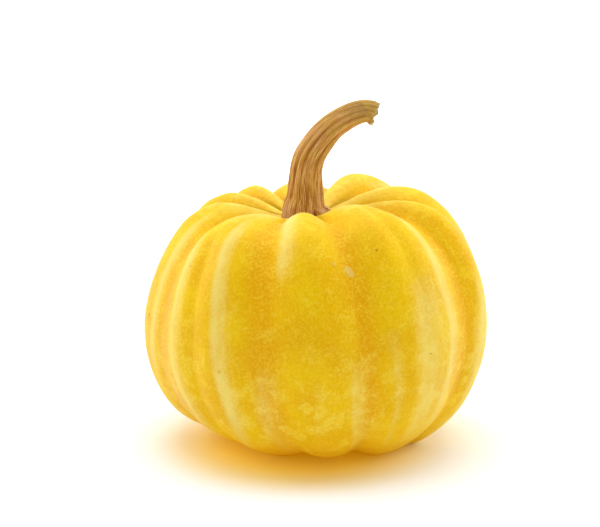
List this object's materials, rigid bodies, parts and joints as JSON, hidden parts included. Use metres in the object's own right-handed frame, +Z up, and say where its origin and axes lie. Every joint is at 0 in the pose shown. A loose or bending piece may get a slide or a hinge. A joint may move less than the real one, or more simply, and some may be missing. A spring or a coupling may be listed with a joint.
{
  "type": "mini pumpkin",
  "caption": "Small squat golden pumpkin with deep furrows between its lobes and a woody stem that curves over to one side; rests on a flat surface.",
  "frame": {"origin": "middle of the bounding box at its foot, on the surface that the pumpkin rests on", "axes": "+Z up, +X towards the side that the stem curves over to, -Y towards the front that is best seen"},
  "size_m": [0.09, 0.0902, 0.0905],
  "materials": {
    "rind": "waxy golden rind with pale streaks and fine pale specks",
    "stem": "dry ribbed tan stem, rough, with darker grooves"
  },
  "bodies": {
    "root": {"fruit": "rind", "stem": "stem"}
  },
  "joints": []
}
